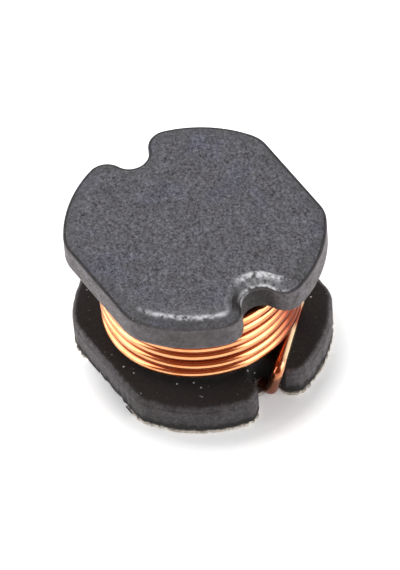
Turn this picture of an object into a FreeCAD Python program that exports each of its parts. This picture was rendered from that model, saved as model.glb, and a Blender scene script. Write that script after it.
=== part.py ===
import FreeCAD, Part
import math
import os

import Sketcher
from FreeCAD import Placement, Rotation, Vector

# Drum core power inductor for surface mounting, in millimetres.
# The origin is the middle of the underside, +X runs along the line of the two notches and
# +Z points up from the board.
SIZES = (
    ("flange_radius", 3.9, "radius of the round ends of both flanges"),
    ("flat_depth", 0.4, "height of the segment that each flat cuts off"),
    ("corner_radius", 1.1, "rounding between a flat and a round end"),
    ("base_thickness", 1.07, "height of the lower flange"),
    ("window_height", 2.83, "height of the winding space between the flanges"),
    ("top_thickness", 1.0, "height of the upper flange in its middle"),
    ("crown_height", 0.12, "fall of the upper face from its flat middle to its rim"),
    ("crown_width", 0.46, "width of that fall along the outline"),
    ("edge_radius", 0.12, "rounding of the long edge under the upper flange"),
    ("base_edge_radius", 0.18, "rounding of the long edge on the lower flange"),
    ("ledge_width", 1.24, "reach of the round ends past the post that carries the winding"),
    ("notch_margin", 0.29, "shelf left between the post and a notch of the upper flange"),
    ("notch_radius", 0.57, "radius of a notch of the upper flange"),
    ("notch_lip", 0.6, "rounding of the mouth of that notch"),
    ("slot_margin", 0.09, "shelf left between the post and a slot of the lower flange"),
    ("slot_radius", 0.42, "radius of a slot of the lower flange, half its width"),
    ("slot_shift", 0.15, "distance of the slots from the line of the notches"),
    ("slot_straight", 0.015, "straight stretch of a slot's far wall between its round end and its lip"),
    ("wire_diameter", 0.35, "diameter of the enamelled wire"),
    ("wire_clearance", 0.02, "space between the wire and the core"),
    ("turn_gap", 0.01, "least space between two turns"),
    ("bend_radius", 0.3, "radius of the wire's axis where a lead is bent"),
    ("turn_slack", 0.1, "how far the last turn stands off where it runs out into its lead"),
    ("lead_reach", 0.616, "distance of that bend outside the axis of the turns"),
    ("lead_side", 0.45, "distance of that bend from the line of the notches"),
    ("tail_reach", 0.47, "distance of a lead's foot from the inner end of its slot"),
    ("tail_side", 0.28, "distance of a lead's tail from the line of the notches"),
    ("tail_length", 1.2, "length of a lead's tail under the lower flange"),
    ("terminal_thickness", 0.1, "thickness of the tinned terminal plates"),
    ("terminal_spacing", 2.1, "bare length between the two terminals"),
    ("groove_width", 0.76, "width of the groove that takes a lead's tail"),
    ("groove_margin", 0.2, "length of the groove past the end of the tail"),
    ("solder_skin", 0.02, "solder under the tail of a lead"),
    ("solder_reach", 0.3, "reach of the solder into a slot"),
    ("solder_height", 0.12, "height of the solder in a slot"),
)

# The first turn eases into the helix. The last one leaves it, drops to the lower flange, lies
# flat on it and stands off a little towards its end.
EASE_ANGLE = math.radians(20)
DROP_START = math.radians(73)
DROP_ANGLE = math.radians(110)
SLACK_ANGLE = math.radians(60)
QUARTER = math.pi / 2
FULL_TURN = 2 * math.pi

# Cuts run this far past the surface that they open.
OVERCUT = 1.0
SNAP = 1e-4

# Sketch constraints count the points of a line or arc up from the edge itself, and the
# sketch's own axes down from the drawn lines.
POINT = {name: count for count, name in enumerate(("edge", "start", "end", "centre"))}
AXIS = {name: -count for count, name in enumerate(("drawn", "x", "y"))}

doc = FreeCAD.newDocument("drum_core_inductor")


def fill_sheet():
    """Write the driving dimensions into the sheet, one row for each."""
    table = doc.addObject("Spreadsheet::Sheet", "sizes")
    for row, (name, value, note) in enumerate(SIZES, start=1):
        table.set(f"A{row}", name)
        table.set(f"B{row}", str(value))
        table.setAlias(f"B{row}", name)
        table.set(f"C{row}", note)
    doc.recompute()
    return table


sheet = fill_sheet()


def size(name):
    return float(sheet.get(name))


def amount(formula):
    return float(sheet.evalExpression(formula))


# ---------------------------------------------------------------- sketches and features
def plane(body, role):
    return next(item for item in body.Origin.OriginFeatures if item.Role == role)


def new_sketch(body, name, role):
    sketch = body.newObject("Sketcher::SketchObject", name)
    sketch.AttachmentSupport = [(plane(body, role), "")]
    sketch.MapMode = "FlatFace"
    return sketch


def datum(sketch, kind, place, formula):
    """Add one dimension to a sketch and bind it to the sheet."""
    index = sketch.addConstraint(Sketcher.Constraint(kind, *place, amount(formula)))
    name = f"{kind}_{index}"
    sketch.renameConstraint(index, name)
    sketch.setExpression(f".Constraints.{name}", formula)


def join(sketch, kind, first, second):
    """Let one line or arc end where the next begins, as a corner or as a smooth run."""
    ends = (first, POINT["end"], second, POINT["start"])
    sketch.addConstraint(Sketcher.Constraint(kind, *ends))


def hold(sketch, line, across, up):
    """Tie the start of a line to its distances from the sketch's origin, None where it has one."""
    hold_point(sketch, (line, POINT["start"]), across, up)


def hold_point(sketch, place, across, up):
    origin = (AXIS["x"], POINT["start"])
    for kind, axis, formula in (("DistanceX", "y", across), ("DistanceY", "x", up)):
        if formula == "0":
            sketch.addConstraint(Sketcher.Constraint("PointOnObject", *place, AXIS[axis]))
        elif formula:
            datum(sketch, kind, (*origin, *place), formula)


def polygon(sketch, corners):
    """Draw a closed outline through corners given as formulas, each corner tied once."""
    points = [Vector(amount(across), amount(up), 0) for across, up in corners]
    lines = [
        sketch.addGeometry(Part.LineSegment(point, points[(k + 1) % len(points)]))
        for k, point in enumerate(points)
    ]
    for k, line in enumerate(lines):
        following = lines[(k + 1) % len(lines)]
        join(sketch, "Coincident", line, following)
    hold(sketch, lines[0], *corners[0])
    for k in range(1, len(corners)):
        same_across = corners[k][0] == corners[k - 1][0]
        same_up = corners[k][1] == corners[k - 1][1]
        if same_across:
            sketch.addConstraint(Sketcher.Constraint("Vertical", lines[k - 1]))
        if same_up:
            sketch.addConstraint(Sketcher.Constraint("Horizontal", lines[k - 1]))
        across = None if same_across else corners[k][0]
        up = None if same_up else corners[k][1]
        hold(sketch, lines[k], across, up)


def circle(sketch, across, radius):
    """Draw a circle whose centre lies on the sketch's own X axis."""
    centre = Vector(amount(across), 0, 0)
    index = sketch.addGeometry(Part.Circle(centre, Vector(0, 0, 1), amount(radius)))
    hold_point(sketch, (index, POINT["centre"]), across, "0")
    datum(sketch, "Radius", (index,), radius)


def slot_outline(sketch, across, up, radius, reach):
    """Draw a slot with one round end about its centre, open towards +X as far as reach."""
    middle = Vector(amount(across), amount(up), 0)
    half = Vector(0, amount(radius), 0)
    far = Vector(amount(reach), middle.y, 0)
    round_end = Part.ArcOfCircle(
        Part.Circle(middle, Vector(0, 0, 1), half.y), math.pi / 2, 3 * math.pi / 2
    )
    end = sketch.addGeometry(round_end)
    lower = sketch.addGeometry(Part.LineSegment(middle - half, far - half))
    mouth = sketch.addGeometry(Part.LineSegment(far - half, far + half))
    upper = sketch.addGeometry(Part.LineSegment(far + half, middle + half))
    join(sketch, "Tangent", end, lower)
    join(sketch, "Coincident", lower, mouth)
    join(sketch, "Coincident", mouth, upper)
    join(sketch, "Tangent", upper, end)
    sketch.addConstraint(Sketcher.Constraint("Horizontal", lower))
    sketch.addConstraint(Sketcher.Constraint("Vertical", mouth))
    hold_point(sketch, (end, POINT["centre"]), across, up)
    datum(sketch, "Radius", (end,), radius)
    hold_point(sketch, (mouth, POINT["start"]), reach, None)


def changed(feature, before, grows):
    """Recompute and make sure that a feature added or removed what it should."""
    doc.recompute()
    difference = feature.Shape.Volume - before
    if (difference > 0) != grows or abs(difference) < SNAP:
        raise RuntimeError(f"{feature.Name} changed the volume by {difference}")
    return feature


def pad(body, name, sketch, height):
    before = body.Tip.Shape.Volume if body.Tip else 0.0
    feature = body.newObject("PartDesign::Pad", name)
    feature.Profile = sketch
    feature.setExpression("Length", height)
    return changed(feature, before, True)


def cut_through(body, name, sketch, both_ways=False):
    before = body.Tip.Shape.Volume
    feature = body.newObject("PartDesign::Pocket", name)
    feature.Profile = sketch
    feature.Type = "ThroughAll"
    if both_ways:
        feature.Midplane = True
    else:
        feature.Reversed = True
    return changed(feature, before, False)


def cut_up(body, name, sketch, depth):
    before = body.Tip.Shape.Volume
    feature = body.newObject("PartDesign::Pocket", name)
    feature.Profile = sketch
    feature.setExpression("Length", depth)
    feature.Reversed = True
    return changed(feature, before, False)


def turn_cut(body, name, sketch, axis):
    before = body.Tip.Shape.Volume
    feature = body.newObject("PartDesign::Groove", name)
    feature.Profile = sketch
    feature.ReferenceAxis = (sketch, [axis])
    feature.Angle = 360
    return changed(feature, before, False)


def mirror(body, name, feature, role):
    before = body.Tip.Shape.Volume
    copy = body.newObject("PartDesign::Mirrored", name)
    copy.Originals = [feature]
    copy.MirrorPlane = (plane(body, role), [""])
    body.Tip = copy
    return changed(copy, before, False)


def round_edges(body, name, chosen, radius):
    """Fillet the edges of the body's last feature that the test chooses."""
    base = body.Tip
    names = [f"Edge{k}" for k, edge in enumerate(base.Shape.Edges, start=1) if chosen(edge)]
    if not names:
        raise RuntimeError(f"{name} found no edge")
    feature = body.newObject("PartDesign::Fillet", name)
    feature.Base = (base, names)
    feature.setExpression("Radius", radius)
    return changed(feature, base.Shape.Volume, False)


def upright(edge):
    start, end = edge.firstVertex().Point, edge.lastVertex().Point
    return start.distanceToPoint(Vector(end.x, end.y, start.z)) < SNAP < abs(end.z - start.z)


def level(edge, height):
    box = edge.BoundBox
    return abs(box.ZMin - height) < SNAP and abs(box.ZMax - height) < SNAP


RIM = "sizes.flange_radius"
POST = "sizes.flange_radius - sizes.ledge_width"
HALF_WIDTH = "sizes.flange_radius - sizes.flat_depth"
BEYOND = f"sizes.flange_radius + {OVERCUT}"
NOTCH_FLOOR = f"{POST} + sizes.notch_margin"
NOTCH_CENTRE = f"{NOTCH_FLOOR} + sizes.notch_radius"
SLOT_FLOOR = f"{POST} + sizes.slot_margin"
SLOT_CENTRE = f"{SLOT_FLOOR} + sizes.slot_radius"
LOWER_FACE = "sizes.terminal_thickness"
LOWER_SHELF = f"{LOWER_FACE} + sizes.base_thickness"
MIDDLE = f"{LOWER_SHELF} + sizes.window_height / 2"
UPPER_SHELF = f"{LOWER_SHELF} + sizes.window_height"
UPPER_FACE = f"{UPPER_SHELF} + sizes.top_thickness"
TAIL_HEIGHT = "sizes.solder_skin + sizes.wire_diameter / 2"
GROOVE_ROOF = "sizes.solder_skin + sizes.wire_diameter + sizes.wire_clearance"
LEAD_FOOT = f"{SLOT_FLOOR} + sizes.tail_reach"
GROOVE_END = f"{LEAD_FOOT} - sizes.tail_length - sizes.groove_margin"
GROOVE_SIDES = (
    "sizes.slot_shift - sizes.groove_width / 2",
    "sizes.slot_shift + sizes.groove_width / 2",
)

# Both lips of a slot have the radius that touches the rim and the end of its far wall.
SLOT_WALL = "(sizes.slot_shift + sizes.slot_radius)"
WALL_END = f"({SLOT_CENTRE} + sizes.slot_straight)"
SLOT_LIP = (
    f"({RIM} * {RIM} - {SLOT_WALL} * {SLOT_WALL} - {WALL_END} * {WALL_END})"
    f" / (2 * ({RIM} + {SLOT_WALL}))"
)


def cut_flats(body):
    """Cut the two flats off a round disc or drum and round their corners."""
    flat = new_sketch(body, "flat_outline", "XY_Plane")
    polygon(flat, [
        (f"-{RIM}", HALF_WIDTH),
        (RIM, HALF_WIDTH),
        (RIM, BEYOND),
        (f"-{RIM}", BEYOND),
    ])
    mirror(body, "second_flat", cut_through(body, "flat", flat), "XZ_Plane")
    half_width = amount(HALF_WIDTH)

    def at_flat(edge):
        return upright(edge) and abs(abs(edge.CenterOfMass.y) - half_width) < SNAP

    round_edges(body, "corner_rounds", at_flat, "sizes.corner_radius")


def at_mouth(below):
    """Choose the upright edges where notches or slots meet the rim, below a height or above."""
    rim, middle = amount(RIM), amount(MIDDLE)

    def chosen(edge):
        point = edge.CenterOfMass
        on_rim = abs(math.hypot(point.x, point.y) - rim) < SNAP
        return upright(edge) and on_rim and abs(point.y) < rim / 3 and (point.z < middle) == below

    return chosen


def cut_slots(body, mirrored):
    """Cut the slots of the lower flange, where the leads come down, and round their mouths."""
    sketch = new_sketch(body, "slot_outline", "XY_Plane")
    slot_outline(sketch, SLOT_CENTRE, "sizes.slot_shift", "sizes.slot_radius", BEYOND)
    feature = cut_up(body, "slot", sketch, MIDDLE)
    if mirrored:
        mirror(body, "second_slot", feature, "YZ_Plane")
    round_edges(body, "slot_lips", at_mouth(True), SLOT_LIP)


# ---------------------------------------------------------------- ferrite core
def make_core():
    """Pressed drum: two notched flanges on a round post, the upper one slightly crowned."""
    body = doc.addObject("PartDesign::Body", "ferrite_core")
    profile = new_sketch(body, "drum_profile", "XZ_Plane")
    polygon(profile, [
        ("0", LOWER_FACE),
        (RIM, LOWER_FACE),
        (RIM, LOWER_SHELF),
        (POST, LOWER_SHELF),
        (POST, UPPER_SHELF),
        (RIM, UPPER_SHELF),
        (RIM, UPPER_FACE),
        ("0", UPPER_FACE),
    ])
    drum = body.newObject("PartDesign::Revolution", "drum")
    drum.Profile = profile
    drum.ReferenceAxis = (profile, ["V_Axis"])
    drum.Angle = 360
    changed(drum, 0.0, True)
    cut_flats(body)
    cut_slots(body, True)
    notch = new_sketch(body, "notch_outline", "XY_Plane")
    notch.setExpression("AttachmentOffset.Base.z", MIDDLE)
    circle(notch, NOTCH_CENTRE, "sizes.notch_radius")
    mirror(body, "second_notch", cut_through(body, "notch", notch), "YZ_Plane")
    round_edges(body, "notch_lips", at_mouth(False), "sizes.notch_lip")
    crown_flange(body)
    round_edges(body, "upper_edge", shelf_rim(UPPER_SHELF), "sizes.edge_radius")
    round_edges(body, "lower_edge", shelf_rim(LOWER_SHELF), "sizes.base_edge_radius")
    groove = new_sketch(body, "groove_outline", "XY_Plane")
    groove_outline(groove)
    mirror(body, "second_groove", cut_up(body, "groove", groove, GROOVE_ROOF), "YZ_Plane")
    return body


def shelf_rim(formula):
    """Choose the outer edges of the shelf at a height, not the circle of the post."""
    height, post = amount(formula), amount(POST)

    def chosen(edge):
        box = edge.BoundBox
        farthest = max(abs(box.XMin), abs(box.XMax), abs(box.YMin), abs(box.YMax))
        return level(edge, height) and farthest > post + SNAP

    return chosen


def groove_outline(sketch):
    """Draw the groove under the lower flange that runs from a slot to the end of a tail."""
    side, other = GROOVE_SIDES
    polygon(sketch, [
        (GROOVE_END, side),
        (SLOT_CENTRE, side),
        (SLOT_CENTRE, other),
        (GROOVE_END, other),
    ])


def crown_flange(body):
    """Let the upper face fall away evenly along the ends, the flats and the notches."""
    slope = f"sizes.crown_height * {OVERCUT} / sizes.crown_width"
    far_low = f"{UPPER_FACE} - sizes.crown_height - {slope}"

    def fall(name, role, rim):
        sketch = new_sketch(body, name, role)
        polygon(sketch, [
            (f"{rim} - sizes.crown_width", UPPER_FACE),
            (f"{rim} + {OVERCUT}", far_low),
            (f"{rim} + {OVERCUT}", UPPER_FACE),
        ])
        return sketch

    turn_cut(body, "end_fall", fall("end_fall_outline", "XZ_Plane", RIM), "V_Axis")
    sketch = fall("flat_fall_outline", "YZ_Plane", HALF_WIDTH)
    mirror(body, "second_flat_fall", cut_through(body, "flat_fall", sketch, True), "XZ_Plane")
    sketch = new_sketch(body, "notch_fall_outline", "XZ_Plane")
    axis_height = amount(UPPER_FACE)
    centre = amount(NOTCH_CENTRE)
    axis = sketch.addGeometry(Part.LineSegment(Vector(centre, axis_height, 0),
                                               Vector(centre, axis_height + OVERCUT, 0)), True)
    sketch.addConstraint(Sketcher.Constraint("Vertical", axis))
    hold(sketch, axis, NOTCH_CENTRE, UPPER_FACE)
    datum(sketch, "DistanceY", (axis, POINT["start"], axis, POINT["end"]), f"{OVERCUT}")
    polygon(sketch, [
        (f"{NOTCH_FLOOR} - sizes.crown_width", UPPER_FACE),
        (NOTCH_FLOOR, f"{UPPER_FACE} - sizes.crown_height"),
        (NOTCH_FLOOR, UPPER_FACE),
    ])
    mirror(body, "second_notch_fall", turn_cut(body, "notch_fall", sketch, "Axis0"), "YZ_Plane")


# ---------------------------------------------------------------- terminals
def make_terminal():
    """Tinned plate under the front end of the lower flange, cut out for the soldered tail."""
    body = doc.addObject("PartDesign::Body", "terminal_front")
    disc = new_sketch(body, "disc_outline", "XY_Plane")
    circle(disc, "0", "sizes.flange_radius")
    pad(body, "disc", disc, "sizes.terminal_thickness")
    cut_flats(body)
    cut_slots(body, False)
    waste = new_sketch(body, "bare_outline", "XY_Plane")
    polygon(waste, [
        (f"-({BEYOND})", f"-({BEYOND})"),
        ("sizes.terminal_spacing / 2", f"-({BEYOND})"),
        ("sizes.terminal_spacing / 2", BEYOND),
        (f"-({BEYOND})", BEYOND),
    ])
    cut_through(body, "bare", waste)
    gap = new_sketch(body, "gap_outline", "XY_Plane")
    groove_outline(gap)
    cut_through(body, "gap", gap)
    return body


# ---------------------------------------------------------------- winding
def arc_between(start, direction, end):
    """The arc that leaves start along direction and reaches end, or a line if they agree."""
    chord = end - start
    along = Vector(chord).normalize()
    lean = direction.dot(along)
    side = direction - along * lean
    if side.Length < SNAP:
        return Part.LineSegment(start, end).toShape()
    height = chord.Length / 2 * math.tan(math.acos(min(1.0, lean)) / 2)
    middle = start + chord * 0.5 + side.normalize() * height
    return Part.Arc(start, middle, end).toShape()


def arc_pair(first, second):
    """Two arcs that join two points in space and keep the direction given at each."""
    (start, leaving), (end, arriving) = first, second
    chord = end - start
    both = leaving + arriving
    square = both.dot(both) - 4.0
    linear = -2.0 * chord.dot(both)
    root = math.sqrt(linear * linear - 4.0 * square * chord.dot(chord))
    reach = (-linear - root) / (2.0 * square)
    near, far = start + leaving * reach, end - arriving * reach
    joint = (near + far) * 0.5
    return [
        arc_between(start, leaving, joint),
        arc_between(joint, (far - near).normalize(), end),
    ]


def coil_point(angle, height, slope):
    """A point on the axis of the turns and the wire's direction there, clockwise from above."""
    radius = amount(POST) + size("wire_clearance") + size("wire_diameter") / 2
    point = Vector(radius * math.cos(angle), radius * math.sin(angle), height)
    return point, Vector(math.sin(angle), -math.cos(angle), slope).normalize()


def lead(side, height):
    """Corners of a lead from its bend beside the turns to the end of its tail."""
    radius = amount(POST) + size("wire_clearance") + size("wire_diameter") / 2
    foot, low = amount(LEAD_FOOT), amount(TAIL_HEIGHT)
    return [
        Vector(side * (radius + size("lead_reach")), size("lead_side"), height),
        Vector(side * foot, size("tail_side"), low),
        Vector(side * (foot - size("tail_length")), size("tail_side"), low),
    ]


def bent_run(points):
    """Straight runs through the points with a round bend at each corner between them."""
    edges = []
    start = points[0]
    for before, corner, after in zip(points, points[1:], points[2:]):
        arriving = (corner - before).normalize()
        leaving = (after - corner).normalize()
        setback = size("bend_radius") * math.tan(math.acos(arriving.dot(leaving)) / 2)
        bend_start, bend_end = corner - arriving * setback, corner + leaving * setback
        edges.append(Part.LineSegment(start, bend_start).toShape())
        edges.append(arc_between(bend_start, arriving, bend_end))
        start = bend_end
    edges.append(Part.LineSegment(start, points[-1]).toShape())
    return edges


def wire_route():
    """Axis of the wire: rear tail, rise to the upper flange, turns down the post, front tail."""
    spare = size("wire_clearance") + size("wire_diameter") / 2
    low, high = amount(LOWER_SHELF) + spare, amount(UPPER_SHELF) - spare
    front, rear = lead(1, low), lead(-1, high)
    radius = math.hypot(*coil_point(0, 0, 0)[0][:2])
    touch = math.atan2(front[0].y, front[0].x)
    touch += math.acos(radius / math.hypot(front[0].x, front[0].y))
    loose = radius + size("turn_slack")
    leave = touch + math.acos(radius / loose)
    part_turn = math.pi - touch - leave
    room = (high - low) / (size("wire_diameter") + size("turn_gap"))
    turns = math.floor(room - part_turn / FULL_TURN)
    sweep = turns * FULL_TURN + part_turn
    fall = (high - low) / (sweep - EASE_ANGLE)
    slope = -fall / radius
    last = sweep - FULL_TURN + DROP_START
    spread = (fall * FULL_TURN - size("wire_diameter") - size("turn_gap")) / 2

    def helix(along):
        """Height and slope: turns settle in pairs, one a little low and the next one high."""
        pairing = spread * math.cos((last - along) / 2)
        rate = spread * math.sin((last - along) / 2) / 2
        growth = min(1.0, (along - EASE_ANGLE) / FULL_TURN)
        height = high - fall * (along - EASE_ANGLE / 2) + pairing * growth
        return height, (rate * growth - fall) / radius

    last_height = helix(last)[0]
    drop_slope = -(last_height - low) / (DROP_ANGLE * radius)
    begin = math.pi - touch
    nodes = [(0.0, high, 0.0), (EASE_ANGLE, high - fall * EASE_ANGLE / 2, slope)]
    steps = math.ceil((last - EASE_ANGLE) / QUARTER)
    for k in range(1, steps + 1):
        along = EASE_ANGLE + (last - EASE_ANGLE) * k / steps
        nodes.append((along, *helix(along)))
    nodes.append((last + DROP_ANGLE / 2, (last_height + low) / 2, 1.5 * drop_slope))
    nodes.append((last + DROP_ANGLE, low, 0.0))
    nodes.append((sweep - SLACK_ANGLE, low, 0.0))
    stations = [coil_point(begin - along, height, lean) for along, height, lean in nodes]
    end = Vector(loose * math.cos(leave), loose * math.sin(leave), low)
    stations.append((end, (front[0] - end).normalize()))
    edges = bent_run(rear[::-1] + [stations[0][0]])
    for first, second in zip(stations, stations[1:]):
        edges += arc_pair(first, second)
    edges += bent_run([stations[-1][0]] + front)
    return Part.Wire(edges)


def make_winding():
    """One enamelled wire: both leads and all turns, swept along its axis."""
    route = doc.addObject("Part::Feature", "wire_axis")
    route.Shape = wire_route()
    first = route.Shape.Edges[0]
    section = doc.addObject("Part::Circle", "wire_section")
    section.setExpression("Radius", "sizes.wire_diameter / 2")
    heading = first.tangentAt(first.FirstParameter)
    section.Placement = Placement(first.firstVertex().Point, Rotation(Vector(0, 0, 1), heading))
    wire = doc.addObject("Part::Sweep", "winding")
    wire.Sections = [section]
    wire.Spine = (route, [])
    wire.Solid = True
    doc.recompute()
    return wire


# ---------------------------------------------------------------- solder
def make_solder_blank():
    """Solder that fills the front groove and runs out a little way into the slot."""
    body = doc.addObject("PartDesign::Body", "solder_front")
    side, other = GROOVE_SIDES
    filling = new_sketch(body, "filling_outline", "XY_Plane")
    polygon(filling, [
        (GROOVE_END, side),
        (SLOT_FLOOR, side),
        (SLOT_FLOOR, other),
        (GROOVE_END, other),
    ])
    pad(body, "filling", filling, GROOVE_ROOF)
    reach = f"{SLOT_FLOOR} + sizes.solder_reach"
    tongue = new_sketch(body, "tongue_outline", "XY_Plane")
    polygon(tongue, [
        (SLOT_FLOOR, side),
        (reach, side),
        (reach, other),
        (SLOT_FLOOR, other),
    ])
    pad(body, "tongue", tongue, "sizes.solder_height")
    top, floor = size("solder_height"), amount(SLOT_FLOOR)

    def tongue_rim(edge):
        return level(edge, top) and edge.BoundBox.XMax > floor + SNAP

    round_edges(body, "tongue_rounds", tongue_rim, "sizes.solder_height * 0.8")
    return body


def make_solder_joint(name, blank, wire):
    """A filled groove less the wire that lies in it."""
    joint = doc.addObject("Part::Cut", name)
    joint.Base = blank
    joint.Tool = wire
    return joint


def rear_of(item, name):
    """The same piece at the rear end, as its mirror image."""
    copy = doc.addObject("Part::Mirroring", name)
    copy.Source = item
    copy.Normal = Vector(1, 0, 0)
    return copy


def check_document():
    for item in doc.Objects:
        if "Invalid" in item.State or "Error" in item.State:
            raise RuntimeError(f"{item.Name} is {item.State}")


def write_part(item):
    if item.Shape.isNull() or not item.Shape.isValid():
        raise RuntimeError(f"{item.Label} has no valid shape")
    item.Shape.exportStep(f"parts/{item.Label}.step")
    print(item.Label, len(item.Shape.Solids), round(item.Shape.Volume, 4))


winding = make_winding()
terminal = make_terminal()
solder = make_solder_blank()
PARTS = (
    make_core(),
    winding,
    terminal,
    rear_of(terminal, "terminal_rear"),
    make_solder_joint("solder_joint_front", solder, winding),
    make_solder_joint("solder_joint_rear", rear_of(solder, "solder_rear"), winding),
)
doc.recompute()
check_document()
os.makedirs("parts", exist_ok=True)
for part in PARTS:
    write_part(part)
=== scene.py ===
import math

import bpy
import numpy as np
from mathutils import Matrix, Vector


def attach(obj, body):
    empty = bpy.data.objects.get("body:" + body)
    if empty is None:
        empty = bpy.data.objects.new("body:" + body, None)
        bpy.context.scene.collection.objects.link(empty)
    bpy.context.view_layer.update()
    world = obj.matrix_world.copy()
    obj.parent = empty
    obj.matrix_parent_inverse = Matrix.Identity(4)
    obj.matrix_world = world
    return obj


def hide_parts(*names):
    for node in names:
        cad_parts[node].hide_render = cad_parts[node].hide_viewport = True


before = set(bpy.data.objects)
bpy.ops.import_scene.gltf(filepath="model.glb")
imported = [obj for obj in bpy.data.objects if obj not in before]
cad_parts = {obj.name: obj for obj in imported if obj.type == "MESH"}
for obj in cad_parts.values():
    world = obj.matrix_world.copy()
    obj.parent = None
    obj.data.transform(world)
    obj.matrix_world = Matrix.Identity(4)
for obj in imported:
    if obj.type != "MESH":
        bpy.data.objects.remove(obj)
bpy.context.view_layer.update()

# ---------------------------------------------------------------- sizes of the part, in mm
MM = 0.001
# Both flanges: radius of the rim, half the width over the flats, radius of the corners.
RIM, HALF_WIDTH, CORNER = 3.9, 3.5, 1.1
# Heights of the lower flange's two faces and of the upper flange's two faces.
LOWER_FACE, LOWER_SHELF, UPPER_SHELF, UPPER_FACE = 0.1, 1.17, 4.0, 5.0
# Rounded edges: top of the lower flange, bottom of the upper one, and round its crown.
SHELF_BEND, UNDER_BEND, CROWN_BEND = 0.18, 0.12, 0.035
CROWN_FALL, CROWN_WIDTH, CROWN_SOFT = 0.12, 0.46, 0.035
MIDDLE = 2.0  # an inset at which the upper face is level
POST = 2.66
# Recesses: centre and radius of the round end, and radius of the lips beside the mouth.
NOTCH = {"centre": (3.52, 0.0), "radius": 0.57, "lip": 0.6}
SLOT = {"centre": (3.17, 0.15), "radius": 0.42, "lip": 0.5303}
# Distance between the terminals, and the groove under a slot for the wire's tail.
TERMINAL_SPACING, GROOVE = 2.1, {"end": 1.82, "half_width": 0.38}
# Radius of the wire, its play against the core, and the radius of a turn's axis.
WIRE, PLAY = 0.175, 0.02
COIL = POST + PLAY + WIRE
# A lead: its knee on the shelf, its foot under the slot, the tail's length and the bends.
KNEE = (COIL + 0.616, 0.45)
FOOT = (POST + 0.56, 0.28, 0.195)
TAIL, LEAD_BEND = 1.2, 0.3
# The last turn stands this far off the others where it leaves the post.
STAND_OFF = 0.1
# Points round a row of the core, along the wire, and round the wire.
LOOP, WIRE_STEPS, WIRE_SIDES = 720, 2400, 24

# ---------------------------------------------------------------- places that the paint picks out
# Each is a place's x and y and how far it reaches, in mm.
# Painted shade goes on the slot and notch walls and in the dark patch; painted glints at the bright
# rim and on the crown round the front notch.
SLOT_WALLS, NOTCH_WALLS = (3.15, 0.15, 0.6), (3.35, 0.0, 0.66)
BRIGHT_RIM, DARK_PATCH, NOTCH_CROWN = (3.08, -0.3, 0.28), (3.12, -0.62, 0.36), (3.2, 0.25, 0.85)
# Each is an angle round the part or round the front notch and how far it reaches, in radians.
# The fronts get painted shade; the stretches round the front notch get painted glints.
LOWER_FRONT, UPPER_FRONT = (-0.75, 0.75), (-0.63, 0.42)
OUTER_STRETCH, INNER_STRETCH = (2.45, 0.85), (2.6, 1.3)
# The coil beside the front lead, which painted shade darkens, as an angle and its reach in degrees.
BESIDE_LEAD = (38, 23)


# ---------------------------------------------------------------- meshes
def add_piece(name, points, faces, material, replaced):
    """A smooth piece from points in mm, lying where it is drawn, that rides on the root body."""
    mesh = bpy.data.meshes.new(name)
    mesh.from_pydata((points * MM).tolist(), [], faces)
    mesh.shade_smooth()
    mesh.materials.append(material)
    piece = bpy.data.objects.new(name, mesh)
    bpy.context.collection.objects.link(piece)
    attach(piece, "root")
    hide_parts(replaced)
    return piece


def paint(piece, name, values):
    """Store one number for each point of a piece, for its material to read."""
    attribute = piece.data.attributes.new(name, "FLOAT", "POINT")
    attribute.data.foreach_set("value", np.asarray(values, np.float32))


def paint_loft(piece, name, rows, last=0.0):
    """Paint a loft from rows of numbers, with 0 on its first pole and `last` on the other."""
    paint(piece, name, np.concatenate([[0.0], np.ravel(rows), [last]]))


def loft_faces(rows, columns):
    """Quads between closed rows of points, with a fan of triangles onto a pole at each end.

    Point 0 is the first pole, then come the rows, and the last point is the other pole.
    """
    column = np.arange(columns)
    following = (column + 1) % columns
    start = 1 + columns * np.arange(rows - 1)[:, None]
    quads = np.stack([start + column, start + following,
                      start + columns + following, start + columns + column], axis=-1)
    last = 1 + (rows - 1) * columns
    first_pole, last_pole = np.zeros_like(column), np.full_like(column, last + columns)
    first_fan = np.stack([first_pole, 1 + following, 1 + column], axis=-1)
    last_fan = np.stack([last_pole, last + column, last + following], axis=-1)
    return quads.reshape(-1, 4).tolist() + first_fan.tolist() + last_fan.tolist()


# ---------------------------------------------------------------- shapes that repeat
def near(distance, reach, power=4):
    """1 at no distance, falling softly to 0 past the reach: exp(-(distance / reach)^power)."""
    return np.exp(-np.abs(distance / reach) ** power)


def away(loop, x, y):
    """How far the points of a loop lie from one place in the plane."""
    return np.hypot(loop[:, 0] - x, loop[:, 1] - y)


def patch(loop, place, power=4):
    """1 at a place given as x, y and reach, falling softly to 0 past the reach."""
    x, y, reach = place
    return near(away(loop, x, y), reach, power)


def mirrored(loop):
    """The loop folded onto the side with positive x, so that both ends are painted alike."""
    return np.column_stack([np.abs(loop[:, 0]), loop[:, 1]])


def azimuth(points, x=0.0):
    """The angle of each point round the middle, or round a place at x on the long axis."""
    return np.arctan2(points[:, 1], points[:, 0] - x)


def rising(value, low, width):
    """0 up to low, and from there evenly to 1 over the width."""
    return np.clip((value - low) / width, 0, 1)


def falling(value, high, width):
    """1 down from high - width, and evenly to 0 over the width up to high."""
    return np.clip((high - value) / width, 0, 1)


def ripple(count, seed, waves, strength):
    """A closed random wave: sines of 1 to `waves` periods, each with its own phase and size."""
    rng = np.random.default_rng(seed)
    turn = np.linspace(0, 2 * np.pi, count, endpoint=False)[:, None]
    number = np.arange(1, waves + 1)
    size = rng.normal(size=waves) / np.sqrt(waves)
    phase = rng.uniform(0, 2 * np.pi, waves)
    return strength * (size * np.sin(number * turn + phase)).sum(1)


def rounding(share):
    """A quarter circle: how far a share of it has run straight on, and how far turned aside."""
    return math.sin(share * math.pi / 2), 1 - math.cos(share * math.pi / 2)


def smooth(share):
    """A smooth step from 0 to 1, level at both ends: 3 s^2 - 2 s^3."""
    return share * share * (3 - 2 * share)


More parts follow.
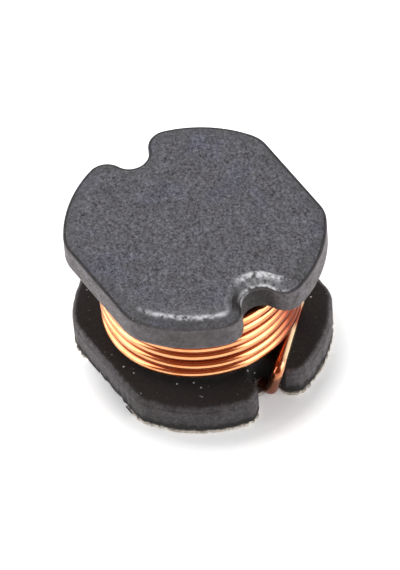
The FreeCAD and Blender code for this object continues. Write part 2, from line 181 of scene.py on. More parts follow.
# ---------------------------------------------------------------- outlines of the flanges
def arc(centre, radius, begin, end):
    """Points and outward normals along a round stretch; begin above end makes it hollow."""
    step = 0.01
    angle = np.linspace(begin, end, max(2, int(abs(end - begin) * radius / step)))
    radial = np.stack([np.cos(angle), np.sin(angle)], axis=-1)
    return np.asarray(centre) + radius * radial, radial * np.sign(end - begin)


def mouth(recess, side):
    """One side of a recess's mouth: the lip's centre, and where lip and recess touch.

    The lip touches the rim from inside, so its centre lies RIM - lip from the middle. It
    touches either the straight wall of a slot, and then stands lip + radius to the side of
    the recess's axis, or the round end itself, lip + radius away from its centre.
    """
    (cx, cy), radius, lip = recess["centre"], recess["radius"], recess["lip"]
    reach = RIM - lip
    y = cy + side * (radius + lip)
    x = math.sqrt(reach ** 2 - y ** 2)
    if x < cx:
        x = (reach ** 2 + cx ** 2 - (radius + lip) ** 2) / (2 * cx)
        y = side * math.sqrt(reach ** 2 - x ** 2)
    touch = math.atan2(y - cy, x - cx) if x < cx else side * math.pi / 2
    return np.array([x, y]), touch


def flange_outline(recess):
    """A flange's outline as LOOP evenly spaced points, with the outward normal at each.

    From the middle of one flat: rounded corner, rim, lip, recess, lip, rim, corner, and then
    the mirror image in x on the way back.
    """
    corner_y = HALF_WIDTH - CORNER
    corner_x = math.sqrt((RIM - CORNER) ** 2 - corner_y ** 2)
    corner_angle = math.atan2(corner_y, corner_x)
    (right, right_touch), (left, left_touch) = mouth(recess, -1), mouth(recess, 1)
    right_angle, left_angle = math.atan2(right[1], right[0]), math.atan2(left[1], left[0])
    radius, lip = recess["radius"], recess["lip"]
    turn = 2 * math.pi
    pieces = [
        arc((corner_x, -corner_y), CORNER, -math.pi / 2, -corner_angle),
        arc((0, 0), RIM, -corner_angle, right_angle),
        arc(right, lip, right_angle, right_touch + math.pi),
        arc(recess["centre"], radius, right_touch + turn, left_touch),
        arc(left, lip, left_touch - math.pi, left_angle),
        arc((0, 0), RIM, left_angle, corner_angle),
        arc((corner_x, corner_y), CORNER, corner_angle, math.pi / 2),
    ]
    points = np.concatenate([piece[0] for piece in pieces])
    normals = np.concatenate([piece[1] for piece in pieces])
    flip = np.array([-1.0, 1.0])
    points = np.concatenate([points, points[::-1] * flip, points[:1]])
    normals = np.concatenate([normals, normals[::-1] * flip, normals[:1]])
    along = np.concatenate([[0], np.cumsum(np.hypot(*np.diff(points, axis=0).T))])
    even = np.linspace(0, along[-1], LOOP, endpoint=False)
    loop = np.stack([np.interp(even, along, points[:, k]) for k in (0, 1)], axis=-1)
    normal = np.stack([np.interp(even, along, normals[:, k]) for k in (0, 1)], axis=-1)
    return loop, normal / np.linalg.norm(normal, axis=1, keepdims=True)


# ---------------------------------------------------------------- node materials
class Nodes:
    """Short ways to make and join the nodes of one tree."""

    def __init__(self, tree):
        self.tree = tree

    def node(self, kind, settings=(), **inputs):
        """A node with its settings and inputs; an input goes by its name, or by _number."""
        made = self.tree.nodes.new(kind)
        for key, value in dict(settings).items():
            setattr(made, key, value)
        for key, value in inputs.items():
            self.feed(made.inputs[int(key[1:]) if key[0] == "_" else key.replace("_", " ")], value)
        return made

    def feed(self, socket, value):
        """Join another node's output to an input, or set the input to a plain value."""
        if isinstance(value, bpy.types.NodeSocket):
            self.tree.links.new(value, socket)
        else:
            socket.default_value = value

    def ramp(self, value, low, high, begin=0.0, end=1.0, curve="LINEAR"):
        """begin to end as the value goes from low to high, and level beyond both."""
        return self.node("ShaderNodeMapRange", {"interpolation_type": curve}, Value=value,
                         From_Min=low, From_Max=high, To_Min=begin, To_Max=end).outputs[0]

    def math(self, operation, a, b=0.0):
        return self.node("ShaderNodeMath", {"operation": operation}, _0=a, _1=b).outputs[0]

    def times(self, a, b):
        return self.math("MULTIPLY", a, b)

    def mix(self, amount, a, b, blend="MIX"):
        """Colour a going over to colour b by an amount from 0 to 1."""
        return self.node("ShaderNodeMix", {"data_type": "RGBA", "blend_type": blend},
                         _0=amount, _6=a, _7=b).outputs[2]


class Finish(Nodes):
    """A material of one Principled shader, with its patterns laid out on the part in mm."""

    def __init__(self, name, **sockets):
        self.material = bpy.data.materials.new(name)
        self.material.use_nodes = True
        super().__init__(self.material.node_tree)
        self.shader = self.tree.nodes["Principled BSDF"]
        for socket, value in sockets.items():
            self.feed(self.shader.inputs[socket.replace("_", " ")], value)
        place = self.node("ShaderNodeTexCoord").outputs["Object"]
        self.place = self.node("ShaderNodeMapping", Vector=place, Scale=(1 / MM,) * 3).outputs[0]

    def noise(self, per_mm, detail=2.0, roughness=0.5, distortion=0.0):
        return self.node("ShaderNodeTexNoise", Vector=self.place, Scale=per_mm, Detail=detail,
                         Roughness=roughness, Distortion=distortion).outputs["Fac"]

    def spots(self, per_mm, size):
        """Round specks: 1 within half the size of a Voronoi point, and 0 past the size."""
        cells = self.node("ShaderNodeTexVoronoi", Vector=self.place, Scale=per_mm)
        return self.ramp(cells.outputs["Distance"], size, size * 0.5)

    def painted(self, name):
        return self.node("ShaderNodeAttribute", {"attribute_name": name}).outputs["Fac"]

    def bump(self, height, depth, strength, under=None):
        """A relief of that depth in mm, on top of another one where it is given."""
        made = self.node("ShaderNodeBump", Strength=strength, Distance=depth * MM, Height=height)
        if under:
            self.feed(made.inputs["Normal"], under)
        return made.outputs[0]

    def use(self, tone, rough, normal):
        for socket, value in (("Base Color", tone), ("Roughness", rough), ("Normal", normal)):
            self.feed(self.shader.inputs[socket], value)
        return self.material


def grey(value, tint=(1.0, 1.0, 1.0)):
    """A grey of that brightness, leaning towards a tint."""
    return (value * tint[0], value * tint[1], value * tint[2], 1.0)


def ferrite_finish():
    """Sintered ferrite: coarse blue-grey grain with pale specks and pits, grime, painted shade and
    painted glints.
    """
    f = Finish("ferrite", Specular_IOR_Level=0.45)
    side, soil, wear = f.painted("side"), f.painted("soil"), f.painted("wear")

    # The grain itself: fine over coarse, mottled, with blue clouds here and there.
    grain = f.noise(12.0, 2.0, 0.62, 0.8)
    crystals = f.noise(5.0, 2.0, 0.55, 0.4)
    coarse = f.ramp(crystals, 0.3, 0.7)
    light = f.times(f.math("ADD", f.ramp(grain, 0.38, 0.66), f.times(coarse, 0.45)), 0.69)
    tone = f.mix(light, grey(0.017, (1.02, 1.0, 1.05)), grey(0.262, (0.985, 0.985, 1.09)))
    patches = f.ramp(f.noise(1.8, 3.0, 0.6), 0.36, 0.64)
    mottle = f.mix(patches, grey(0.84), grey(1.12, (0.99, 0.99, 1.03)))
    tone = f.mix(1.0, tone, mottle, "MULTIPLY")
    cloud = f.times(f.ramp(f.noise(0.85, 2.0, 0.5), 0.52, 0.72), 0.55)
    tone = f.mix(cloud, tone, grey(1.0, (0.92, 0.96, 1.22)), "MULTIPLY")

    # Painted shade: darker rims and recesses, the wall and crown band at the front, and a patch
    # beside the front notch.
    shade = f.times(f.painted("shade"), f.ramp(f.noise(2.4, 3.0, 0.6), 0.1, 0.6))
    tone = f.mix(shade, tone, grey(0.06, (1.0, 1.02, 1.12)))

    # The sides: smoother, warmer and blotched.
    warm = f.mix(coarse, grey(0.062, (1.25, 0.96, 0.91)), grey(0.112, (1.19, 0.97, 0.93)))
    tone = f.mix(f.times(side, 0.55), tone, warm)
    patches = f.ramp(f.noise(2.6, 3.0, 0.65), 0.36, 0.64)
    tone = f.mix(side, tone, f.mix(patches, grey(0.68, (1.02, 0.98, 0.98)), grey(1.3)), "MULTIPLY")

    # Painted shade and grime: black, with an edge that follows the crystals.
    ragged = f.math("ADD", soil, f.times(f.math("SUBTRACT", crystals, 0.5), 0.5))
    darkening = f.times(f.ramp(ragged, 0.12, 0.75), f.ramp(soil, 0.0, 0.2))
    tone = f.mix(darkening, tone, grey(0.007, (1.12, 0.97, 0.95)))

    # Dark pits, pale specks, fewer of them on the sides, and dust on the shelf, where the painted
    # shade and grime are deepest.
    pits = f.times(f.spots(2.6, 0.13), f.ramp(f.noise(1.3, distortion=0.5), 0.5, 0.56))
    tone = f.mix(f.times(pits, 0.8), tone, grey(0.014))
    specks = f.times(f.spots(5.0, 0.14), f.ramp(f.noise(1.9), 0.48, 0.58))
    specks = f.times(specks, f.math("SUBTRACT", 0.8, f.times(side, 0.6)))
    tone = f.mix(specks, tone, grey(0.45, (1.0, 1.01, 1.04)))
    dust = f.times(f.spots(3.4, 0.13), f.ramp(f.noise(1.1), 0.42, 0.48))
    tone = f.mix(f.times(dust, f.ramp(soil, 0.9, 0.99)), tone, grey(0.7, (0.98, 1.0, 1.0)))

    # Painted glints: pale lines along the crown and arcs round the front notch.
    glint_mask = f.times(wear, f.ramp(f.noise(6.5, 2.0, 0.6), 0.34, 0.6))
    tone = f.mix(glint_mask, tone, grey(0.9, (1.0, 1.0, 1.04)))

    rough = f.math("ADD", f.ramp(grain, 0.3, 0.7, 0.62, 0.42), f.times(darkening, 0.25))
    return f.use(tone, rough, f.bump(grain, 0.02, 0.6, f.bump(crystals, 0.03, 0.35)))


def copper_finish():
    """Enamelled copper: bright metal under clear varnish, with drawn streaks along the wire."""
    f = Finish("enamelled_copper", Metallic=0.95,
               Coat_Weight=0.35, Coat_Roughness=0.1, Coat_IOR=1.5)
    below_shelf = f.painted("below_shelf")

    # Streaks along the wire between two coppers, with redder patches.
    place = f.node("ShaderNodeCombineXYZ", X=f.painted("along"), Y=f.painted("around"))
    streak = f.node("ShaderNodeTexNoise", Vector=place.outputs[0], Scale=1.0,
                    Detail=3.0).outputs["Fac"]
    tone = f.mix(f.ramp(streak, 0.35, 0.65), (0.92, 0.35, 0.13, 1), (0.98, 0.48, 0.23, 1))
    tone = f.mix(f.ramp(f.noise(2.2, 2.0), 0.5, 0.8), tone, (0.86, 0.29, 0.09, 1))

    # Painted shade: deep red between the turns and beside the lead. Painted highlight: pale on the
    # lead's outer side. Darker and duller below the shelf.
    tone = f.mix(f.times(f.painted("valley"), 0.9), tone, (0.4, 0.09, 0.032, 1))
    tone = f.mix(f.painted("near_lead"), tone, (0.6, 0.4, 0.36, 1), "MULTIPLY")
    tone = f.mix(f.times(f.painted("lead_highlight"), 0.8), tone, (1.0, 0.76, 0.46, 1))
    tone = f.mix(below_shelf, tone, (0.27, 0.08, 0.035, 1))

    rough = f.math("ADD", f.ramp(streak, 0.3, 0.7, 0.13, 0.22), f.times(below_shelf, 0.2))
    return f.use(tone, rough, f.bump(streak, 0.008, 0.25))


def tin_finish(name, dark, light):
    """Dull tin over silver paste: pale and slightly warm, mottled, with brown flux."""
    f = Finish(name, Metallic=0.3)
    mottle = f.noise(6.0, 4.0, 0.6)
    tone = f.mix(f.ramp(mottle, 0.35, 0.65), dark, light)
    flux = f.times(f.ramp(f.noise(2.3, 3.0, distortion=0.4), 0.53, 0.72), 0.6)
    tone = f.mix(flux, tone, (0.1, 0.065, 0.045, 1))
    return f.use(tone, f.ramp(mottle, 0.3, 0.7, 0.3, 0.6), f.bump(mottle, 0.03, 0.6))


# ---------------------------------------------------------------- ferrite core
class Loft:
    """Rows of LOOP points between two poles, each row with its height and its paint."""

    marks = ("soil", "side", "shade", "wear")

    def __init__(self):
        self.rows, self.painted = [], {name: [] for name in self.marks}

    def add(self, loop, height, **shares):
        self.rows.append(np.column_stack([loop, np.broadcast_to(height, (LOOP,))]))
        for name in self.marks:
            self.painted[name].append(np.broadcast_to(shares.get(name, 0.0), (LOOP,)))


def circle(loop, radius=POST):
    """The loop's points carried straight inwards onto a circle."""
    return radius * loop / np.linalg.norm(loop, axis=1, keepdims=True)


def room(loop, normal, wanted):
    """How far each point can move inwards, up to `wanted`, and stay clear of the post."""
    ahead = (loop * normal).sum(1)
    root = ahead ** 2 - (loop ** 2).sum(1) + (POST + PLAY) ** 2
    reach = np.where((root > 0) & (ahead > 0), ahead - np.sqrt(np.maximum(root, 0)), wanted)
    return np.minimum(reach, wanted)[:, None]


def fanned_post(lower):
    """The post's circle, one point for each of the lower flange, fanned out beside the slots.

    Beside a slot straight lines to the middle would cross its walls, so there the angle
    grows with the distance s along the outline from the slot's inner end. Over a stretch
    further on it goes back to the straight one.
    """
    (slot_x, slot_y), radius = SLOT["centre"], SLOT["radius"]
    distances, angles = (0, 0.35, 0.66, 0.85, 1.5, 3.5), np.radians((0, 12, 18, 21, 28, 49))
    begin, stretch = 1.5, 2
    number, side = np.arange(LOOP), np.sign(lower[:, 0])
    ends = [np.argmin(away(lower * (sign, 1), slot_x - radius, slot_y)) for sign in (1, -1)]
    spacing = np.linalg.norm(lower[1] - lower[0])
    s = spacing * side * (number - np.where(side > 0, *ends))
    fanned = math.atan2(slot_y, POST) + np.sign(s) * np.interp(np.abs(s), distances, angles)
    straight = azimuth(mirrored(lower))
    share = rising(np.abs(s), begin, stretch)
    angle = fanned * (1 - share) + straight * share
    return POST * np.column_stack([side * np.cos(angle), np.sin(angle)])


def add_lower_flange(loft):
    """From the underside out over a chipped rim, up the wall, and in over the shelf to the post.

    The rim's height is LOWER_FACE plus a small bend plus random chips. The wall stands in
    from the outline by a little roughness, and its top is a quarter circle of SHELF_BEND.
    The paint darkens the wall towards its bottom, and puts painted shade on it at the front and in
    the slots.
    """
    outline, normal = flange_outline(SLOT)
    post = fanned_post(outline)
    inset, roughness = 0.012, np.abs(ripple(LOOP, 3, 60, 0.016))
    low = outline - normal * (inset + roughness)[:, None]
    chips = 0.03 + np.clip(ripple(LOOP, 11, 90, 0.1), -0.03, 0.15)
    rim_inset = 0.075 + np.clip(ripple(LOOP, 5, 140, 0.02), -0.035, 0.05)
    rim = low - normal * rim_inset[:, None]
    # The underside and the chipped rim are painted dark: grime and painted shade.
    for share in (0.35, 0.7, 1.0):
        loft.add(post * share, LOWER_FACE, side=1, soil=0.6)
    for share in (0.5, 0.1, 0.0):
        loft.add(rim + (post - rim) * share, LOWER_FACE, side=1, soil=0.6)

    lip = 0.06
    for bend in np.linspace(0.1, 1, 6):
        out, _ = rounding(bend)
        loft.add(rim + (low - rim) * out, LOWER_FACE + lip * bend + chips * bend ** 2,
                 side=1, soil=1)

    # Painted shade on the wall at the front and in the slots, and darker towards the wall's bottom.
    angle, reach = LOWER_FRONT
    front = near(azimuth(outline) - angle, reach)
    wall = 0.32 + 0.17 * front + 0.7 * patch(mirrored(outline), SLOT_WALLS, 8)
    bottom, top, flare = LOWER_FACE + lip + chips, LOWER_SHELF - SHELF_BEND, 0.008
    for share in np.linspace(0.05, 1, 8):
        darkening = 1.3 * math.exp(-share / 0.27)
        loft.add(low + normal * flare * share, bottom * (1 - share) + top * share,
                 side=1, soil=np.maximum(wall, darkening))

    # Over the bend and the shelf the paint rises to black: grime and painted shade.
    edge = low - normal * room(low, normal, SHELF_BEND)
    for bend in np.linspace(0, 1, 11):
        up, inwards = rounding(bend)
        darker = max(0, bend - 0.35) ** 1.5 / 0.52
        loft.add(low + (edge - low) * inwards, LOWER_SHELF - SHELF_BEND * (1 - up),
                 side=1, soil=wall + (1 - wall) * darker)
    for share in (0.1, 0.3, 0.5, 0.75, 1.0):
        loft.add(edge + (post - edge) * share, LOWER_SHELF, side=1, soil=1)
    loft.add(post, LOWER_SHELF + 0.03, soil=0.9)
    loft.add(post, LOWER_SHELF + 0.3, soil=0.8)


def crown(inset):
    """Height of the upper face at a distance inwards from the rim.

    It falls by CROWN_FALL over CROWN_WIDTH, as a ramp with a soft bend:
    UPPER_FACE - slope * (u + sqrt(u^2 + soft^2)) / 2, where u = CROWN_WIDTH - inset.
    """
    u = CROWN_WIDTH - inset
    return UPPER_FACE - CROWN_FALL / CROWN_WIDTH * (u + math.sqrt(u * u + CROWN_SOFT ** 2)) / 2


def add_upper_flange(loft):
    """From the post out under the upper flange, up its wall, and in over the crown.

    Painted shade darkens both notches, the wall at the front and a patch beside the front notch,
    and painted glints light the crown along the front and round that notch.
    """
    outline, normal = flange_outline(NOTCH)
    post, edge = circle(outline), outline - normal * UNDER_BEND
    # Painted shade under the upper flange.
    loft.add(post, UPPER_SHELF, soil=0.8)
    for share in (0.5, 0.0):
        loft.add(edge + (post - edge) * share, UPPER_SHELF, side=1, soil=0.5)

    # Painted shade in both notches.
    recess = patch(mirrored(outline), NOTCH_WALLS, 6)
    for bend in np.linspace(0.15, 1, 6):
        out, up = rounding(bend)
        loft.add(outline - normal * UNDER_BEND * (1 - out), UPPER_SHELF + UNDER_BEND * up,
                 side=1, soil=0.5 * (1 - bend) + 0.62 * recess, shade=0.9 * recess)

    # Painted shade on the wall at the front.
    angle, reach = UPPER_FRONT
    front = near(azimuth(outline) - angle, reach)
    for height in np.linspace(UPPER_SHELF + 0.18, UPPER_FACE - CROWN_FALL - 0.07, 7):
        loft.add(outline, height, side=1, soil=0.62 * recess + 0.22 * front,
                 shade=0.9 * np.maximum(recess, front))

    # Round the crown's edge: painted shade, a dark line, and a painted glint at a bright rim beside
    # the front notch.
    bright_rim = patch(outline, BRIGHT_RIM)
    for bend in np.linspace(0, 1, 5):
        up, inwards = rounding(bend)
        soil, _ = rounding(0.2 + 0.8 * bend)
        loft.add(outline - normal * CROWN_BEND * inwards,
                 crown(CROWN_BEND) - CROWN_BEND * (1 - up), side=1, shade=0.5,
                 soil=soil * (1 - bright_rim) * (0.5 - 0.28 * front), wear=0.6 * bright_rim)

    # On the crown: painted shade at the rim and in a patch beside the front notch, a dark line at
    # the rim, and painted glints along the front and in arcs round the front notch.
    dark_patch = patch(outline, DARK_PATCH)
    about = azimuth(outline, NOTCH["centre"][0]) % (2 * np.pi)
    beside = patch(outline, NOTCH_CROWN, 6)
    outer_stretch = beside * near(about - OUTER_STRETCH[0], OUTER_STRETCH[1])
    inner_stretch = beside * near(about - INNER_STRETCH[0], INNER_STRETCH[1], 6)
    for inset in (0.045, 0.06, 0.08, 0.1, 0.13, 0.17, 0.22, 0.27, 0.31, 0.34, 0.37, 0.4, 0.43,
                  0.46, 0.49, 0.52, 0.55):
        line = 1.1 * near(inset - 0.43, 0.075, 2)
        outer_arc = 1.6 * near(inset - 0.47, 0.085, 2) + 0.35 * near(inset - 0.27, 0.25)
        inner_arc = 0.9 * near(inset - 0.085, 0.04, 2)
        dark_rim_line = (0.6 - 0.4 * front) * (1 - bright_rim) * (inset < 0.1)
        shade = np.clip(0.45 + 0.35 * front + 1.2 * dark_patch, 0, 1)
        wear = line * front + outer_arc * outer_stretch + inner_arc * inner_stretch
        loft.add(outline - normal * inset, crown(inset),
                 soil=dark_rim_line + 0.75 * dark_patch * (inset < 0.3),
                 shade=shade * (1 - 0.6 * outer_stretch) * (inset < 0.38),
                 wear=np.clip(wear, 0, 1))

    rim, disc = outline - normal * inset, circle(outline, 2.2)
    for share in (0.35, 0.75, 1.0):
        loft.add(rim + (disc - rim) * share, crown(MIDDLE))
    loft.add(disc * 0.5, crown(MIDDLE))


def make_core(material):
    """The pressed drum as one closed loft.

    Rows of LOOP points run from the middle of the underside to the middle of the upper face:
    out to the lower rim, up and over the lower flange, in to the post, up it, out under the
    upper flange, up its side and over the crown. A row is a flange's outline moved inwards
    along its normals, a blend of that with the post's circle, or that shrunk to the middle.
    """
    loft = Loft()
    add_lower_flange(loft)
    add_upper_flange(loft)
    points = np.concatenate([[[0, 0, LOWER_FACE]], *loft.rows, [[0, 0, crown(MIDDLE)]]])
    piece = add_piece("drum_core", points, loft_faces(len(loft.rows), LOOP),
                      material, "ferrite_core")
    for name, rows in loft.painted.items():
        paint_loft(piece, name, rows)


# ---------------------------------------------------------------- terminals
def make_plate(name, side, seed, material):
    """A tin plate under one end of the lower flange: a ragged outline drawn up by its thickness.

    The outline is the flange's beyond half the spacing, moved inwards by a clipped random wave,
    with a detour round the groove, and closed by a nearly straight inner side.
    """
    half, slot_y = TERMINAL_SPACING / 2, SLOT["centre"][1]
    loop, normal = flange_outline(SLOT)
    loop = loop - normal * (0.015 + np.clip(ripple(LOOP, seed, 110, 0.07), 0, 0.07))[:, None]
    loop = loop[side * loop[:, 0] > half]
    inner = np.flatnonzero((np.abs(loop[:, 1] - slot_y) < GROOVE["half_width"])
                           & (np.abs(loop[:, 0]) < SLOT["centre"][0]))
    corners = slot_y + side * GROOVE["half_width"] * np.array([-1, 1])
    detour = np.column_stack([np.full(2, side * GROOVE["end"]), corners])
    wave = half + 0.03 + np.clip(ripple(60, seed + 1, 12, 0.03), -0.03, 0.06)
    inside = np.column_stack([side * wave, np.linspace(loop[-1, 1], loop[0, 1], 62)[1:-1]])
    outline = np.concatenate([loop[:inner[0]], detour, loop[inner[-1] + 1:], inside])
    count = len(outline)
    points = np.concatenate([np.column_stack([outline, np.full(count, z)])
                             for z in (0, LOWER_FACE)])
    start = np.arange(count)
    following = (start + 1) % count
    walls = np.column_stack([start, following, following + count, start + count])
    faces = walls.tolist() + [start[::-1].tolist(), (start + count).tolist()]
    piece = add_piece(name + "_plate", points, faces, material, name)
    piece.data.shade_flat()


# ---------------------------------------------------------------- winding
def bend_path(points):
    """Straight runs through the points, with a round bend of LEAD_BEND at each inner one."""
    pieces = [points[:1]]
    for before, corner, after in zip(points, points[1:], points[2:]):
        arriving = (corner - before) / np.linalg.norm(corner - before)
        leaving = (after - corner) / np.linalg.norm(after - corner)
        turn = math.acos(arriving @ leaving)
        side = leaving - arriving * (arriving @ leaving)
        side /= np.linalg.norm(side)
        swept = np.linspace(0, turn, 14)[:, None]
        start = corner - arriving * LEAD_BEND * math.tan(turn / 2)
        pieces.append(start + LEAD_BEND * (np.sin(swept) * arriving + (1 - np.cos(swept)) * side))
    return np.concatenate([*pieces, points[-1:]])


def wire_path():
    """The axis of the wire in mm: rear tail and rise, turns down the post, front lead and tail.

    A turn's point at angle a clockwise from the start is COIL * (cos, sin) of that angle, and
    its height falls evenly, with a wave over two turns that settles them in pairs. In the last
    turn the height goes down to the lower flange along a smooth step, and over its last sixth
    the radius is a cubic that starts along the turn and ends along the straight lead.
    """
    low, high = LOWER_SHELF + PLAY + WIRE, UPPER_SHELF - PLAY - WIRE
    knee, foot, tail = np.array(KNEE), np.array(FOOT), np.array(FOOT) - (TAIL, 0, 0)
    touch = math.atan2(knee[1], knee[0]) + math.acos(COIL / np.hypot(*knee))
    stand = math.acos(COIL / (COIL + STAND_OFF))
    sweep = 12 * np.pi + np.pi - 2 * touch - stand
    ease, last, drop, slack = (math.radians(angle) for angle in (20, 73, 110, 60))
    last += sweep - 2 * np.pi

    # The height: an eased start, an even fall in pairs, and the drop in the last turn.
    fall = (high - low) / (sweep - ease)
    along = np.linspace(0, sweep, 1500)
    spread = (fall * 2 * np.pi - 2 * WIRE - 0.01) / 2
    growth = rising(along, ease, 2 * np.pi)
    height = high - fall * (along - ease / 2) + spread * np.cos((last - along) / 2) * growth
    height = np.where(along < ease, high - fall * along ** 2 / (2 * ease), height)
    start = high - fall * (last - ease / 2) + spread
    step = smooth(rising(along, last, drop))
    height = np.where(along > last, start + (low - start) * step, height)

    # The radius: that of the coil, and the way out to the lead.
    loose = rising(along, sweep - slack, slack)
    inward = slack * math.tan(stand) * (COIL + STAND_OFF)
    radius = COIL + STAND_OFF * smooth(loose) + inward * loose ** 2 * (1 - loose)
    angle = np.pi - touch - along
    turns = np.column_stack([radius * np.cos(angle), radius * np.sin(angle), height])

    flip = np.array([-1.0, 1.0, 1.0])
    rear = bend_path(np.array([tail * flip, foot * flip, np.array([*knee, high]) * flip, turns[0]]))
    front = bend_path(np.array([turns[-1], [*knee, low], foot, tail]))
    path = np.concatenate([rear[:-1], turns, front[1:]])
    run = np.concatenate([[0], np.cumsum(np.linalg.norm(np.diff(path, axis=0), axis=1))])
    even = np.linspace(0, run[-1], WIRE_STEPS)
    return even, np.stack([np.interp(even, run, path[:, k]) for k in range(3)], axis=-1)


def make_winding(material):
    """A round tube along the axis: axis + WIRE * (cos a * side + sin a * up) at each step.

    Painted on it: the place along and around the wire for the streaks, the ends below the
    shelf, darker and duller, painted shade in the valleys between the turns and inside the
    lead and on the stretch of the coil beside the lead, and a painted highlight on the
    lead's bright outer side.
    """
    along, path = wire_path()
    ahead = np.gradient(path, axis=0)
    ahead /= np.linalg.norm(ahead, axis=1, keepdims=True)
    side = np.cross(ahead, [0.0, 0.0, 1.0])
    side /= np.linalg.norm(side, axis=1, keepdims=True)
    up = np.cross(side, ahead)
    angle = np.linspace(0, 2 * np.pi, WIRE_SIDES, endpoint=False)
    ring = (np.cos(angle)[None, :, None] * side[:, None]
            + np.sin(angle)[None, :, None] * up[:, None])
    tube = path[:, None] + WIRE * ring
    points = np.concatenate([path[:1], tube.reshape(-1, 3), path[-1:]])
    piece = add_piece("copper_winding", points, loft_faces(len(path), WIRE_SIDES),
                      material, "winding")

    stretch = 0.5 * along
    paint_loft(piece, "along", np.repeat(stretch, WIRE_SIDES), stretch[-1])
    paint_loft(piece, "around", np.tile(6 * np.sin(angle), len(path)))
    # Below the shelf the wire is painted darker and duller.
    paint(piece, "below_shelf", falling(points[:, 2], 1.3, 0.35))

    # Painted shade on each turn's upper and lower sides where the turns meet, on the coil beside
    # the lead and on the lead's upper side; a painted highlight on the lead's outer side.
    off = np.hypot(path[:, 0], path[:, 1])[:, None]
    outward = (ring[:, :, :2] * path[:, None, :2]).sum(-1) / off
    wound = falling(off, COIL + 0.06, 0.05)
    steep = np.sin(angle)[None, :]
    lead_angle, reach = BESIDE_LEAD
    near_lead = near(np.degrees(azimuth(path)) - lead_angle, reach)[:, None]
    between = np.where(steep > 0, rising(steep, 0.7, 0.2), rising(-steep, 0.0, 0.6))
    valley = wound * np.maximum(between, near_lead) + (1 - wound) * rising(steep, 0.25, 0.4)
    lead_highlight = (1 - wound) * rising(outward, 0.1, 0.5) * falling(off, 3.45, 0.2)
    paint_loft(piece, "valley", valley)
    paint_loft(piece, "near_lead", np.broadcast_to(wound * near_lead, outward.shape))
    paint_loft(piece, "lead_highlight", lead_highlight)


ferrite = ferrite_finish()
copper = copper_finish()
tin = tin_finish("tin_plate", (0.5, 0.43, 0.36, 1), (0.85, 0.8, 0.73, 1))
# The solder's tones are dark: flux on it, and painted shade for the slot it sits in.
solder = tin_finish("solder", (0.2, 0.17, 0.15, 1), (0.5, 0.48, 0.45, 1))
make_core(ferrite)
make_winding(copper)
make_plate("terminal_front", 1, 21, tin)
make_plate("terminal_rear", -1, 31, tin)
for name in ("solder_joint_front", "solder_joint_rear"):
    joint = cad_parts[name].data
    joint.materials.clear()
    joint.materials.append(solder)


# ---------------------------------------------------------------- camera
def towards(azimuth, elevation):
    """The direction at an azimuth, counted from the front towards the right, and an elevation."""
    a, e = math.radians(azimuth), math.radians(elevation)
    return Vector((math.sin(a) * math.cos(e), -math.cos(a) * math.cos(e), math.sin(e)))


def aim_camera():
    """The camera stands off at an azimuth and elevation and is turned a little on its axis."""
    azimuth, elevation, roll = 60.629, 51.017, math.radians(-5.197)
    aim, distance, seen_height = Vector((0.127, -0.070, 2.383)), 250.0, 16.9491525
    back = towards(azimuth, elevation)
    level = towards(azimuth + 90, 0)
    rise = back.cross(level)
    right = level * math.cos(roll) + rise * math.sin(roll)
    up = rise * math.cos(roll) - level * math.sin(roll)
    camera = bpy.data.objects.new("camera", bpy.data.cameras.new("camera"))
    bpy.context.collection.objects.link(camera)
    turned = Matrix((right, up, back)).transposed().to_4x4()
    camera.matrix_world = Matrix.Translation((aim + back * distance) * MM) @ turned
    camera.data.sensor_width = 36
    camera.data.lens = camera.data.sensor_width * distance / seen_height
    camera.data.clip_start, camera.data.clip_end = 0.001, 10
    bpy.context.scene.camera = camera


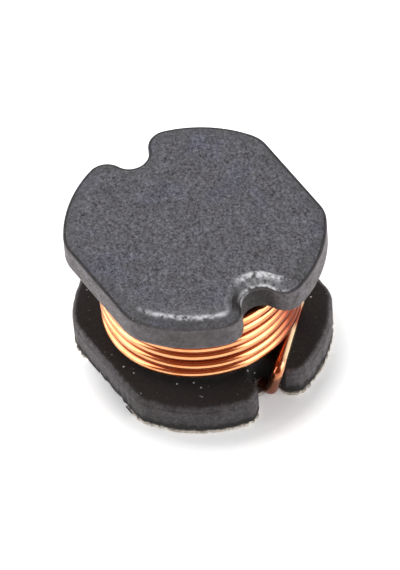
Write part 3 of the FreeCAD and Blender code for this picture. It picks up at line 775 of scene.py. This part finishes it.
# ---------------------------------------------------------------- studio
def make_floor():
    """A white sheet that keeps a soft shadow, open when seen from below.

    Its own glow fades close to the part, which deepens the shadow where they touch.
    """
    reach, drop = 0.4, -0.00002
    mesh = bpy.data.meshes.new("floor")
    corners = [(x * reach, y * reach, drop) for x, y in ((-1, -1), (1, -1), (1, 1), (-1, 1))]
    mesh.from_pydata(corners, [], [(0, 1, 2, 3)])
    floor = bpy.data.objects.new("floor", mesh)
    bpy.context.collection.objects.link(floor)

    f = Finish("floor", Base_Color=(0.95, 0.95, 0.95, 1), Roughness=1.0, Specular_IOR_Level=0.0,
               Emission_Color=(1, 1, 1, 1))
    middle = (1.0, -0.2, drop / MM)
    off = f.node("ShaderNodeVectorMath", {"operation": "DISTANCE"}, _0=f.place, _1=middle)
    glow = f.ramp(off.outputs["Value"], 3.3, 4.2, 0.22, 0.7)
    diffuse_ray = f.node("ShaderNodeLightPath").outputs["Is Diffuse Ray"]
    f.feed(f.shader.inputs["Emission Strength"], f.ramp(diffuse_ray, 0.0, 1.0, glow, 0.2))
    below = f.node("ShaderNodeNewGeometry").outputs["Backfacing"]
    clear = f.node("ShaderNodeBsdfTransparent").outputs[0]
    sheet = f.node("ShaderNodeMixShader", _0=below, _1=f.shader.outputs[0], _2=clear)
    f.feed(f.tree.nodes["Material Output"].inputs["Surface"], sheet.outputs[0])
    mesh.materials.append(f.material)


def make_world():
    """White for the eye, a soft grey as light, and for gloss white with a warm dark part.

    The dark part spans an azimuth to both sides of the front, and the sky above all sides.
    """
    world = bpy.data.worlds.new("studio")
    bpy.context.scene.world = world
    world.use_nodes = True
    sky = Nodes(world.node_tree)
    ray = sky.node("ShaderNodeLightPath").outputs
    direction = sky.node("ShaderNodeTexCoord").outputs["Generated"]
    place = sky.node("ShaderNodeSeparateXYZ", Vector=direction).outputs

    front = math.radians(44)
    azimuth = sky.math("ARCTAN2", place["X"], sky.times(place["Y"], -1.0))
    off = sky.math("ABSOLUTE", sky.math("SUBTRACT", azimuth, front))
    beside = sky.ramp(off, 0.77, 1.02, curve="SMOOTHSTEP")
    low = sky.ramp(place["Z"], 0.8, 0.6, curve="SMOOTHSTEP")
    gloss = sky.mix(sky.times(beside, low), (0.24, 0.085, 0.045, 1), (1.2, 1.2, 1.2, 1))
    light = sky.mix(ray["Is Glossy Ray"], (0.06, 0.06, 0.06, 1), gloss)
    seen = sky.mix(ray["Is Camera Ray"], light, (1, 1, 1, 1))
    sky.feed(sky.tree.nodes["Background"].inputs["Color"], seen)


def add_lamp(name, azimuth, elevation, distance, size, watts):
    """A square soft lamp that faces the middle of the part, with lengths in mm."""
    lamp = bpy.data.lights.new(name, "AREA")
    lamp.size, lamp.energy = size * MM, watts
    holder = bpy.data.objects.new(name, lamp)
    bpy.context.collection.objects.link(holder)
    back, middle = towards(azimuth, elevation), Vector((0, 0, UPPER_FACE / 2))
    holder.location = (back * distance + middle) * MM
    holder.rotation_mode = "QUATERNION"
    holder.rotation_quaternion = back.to_track_quat("Z", "Y")


aim_camera()
make_floor()
make_world()
add_lamp("top_lamp", 215, 72, 120, 70, 0.027)
add_lamp("left_lamp", 325, 24, 140, 150, 0.19)
add_lamp("right_lamp", 122, 24, 140, 130, 0.135)
bpy.context.scene.view_settings.view_transform = "Standard"
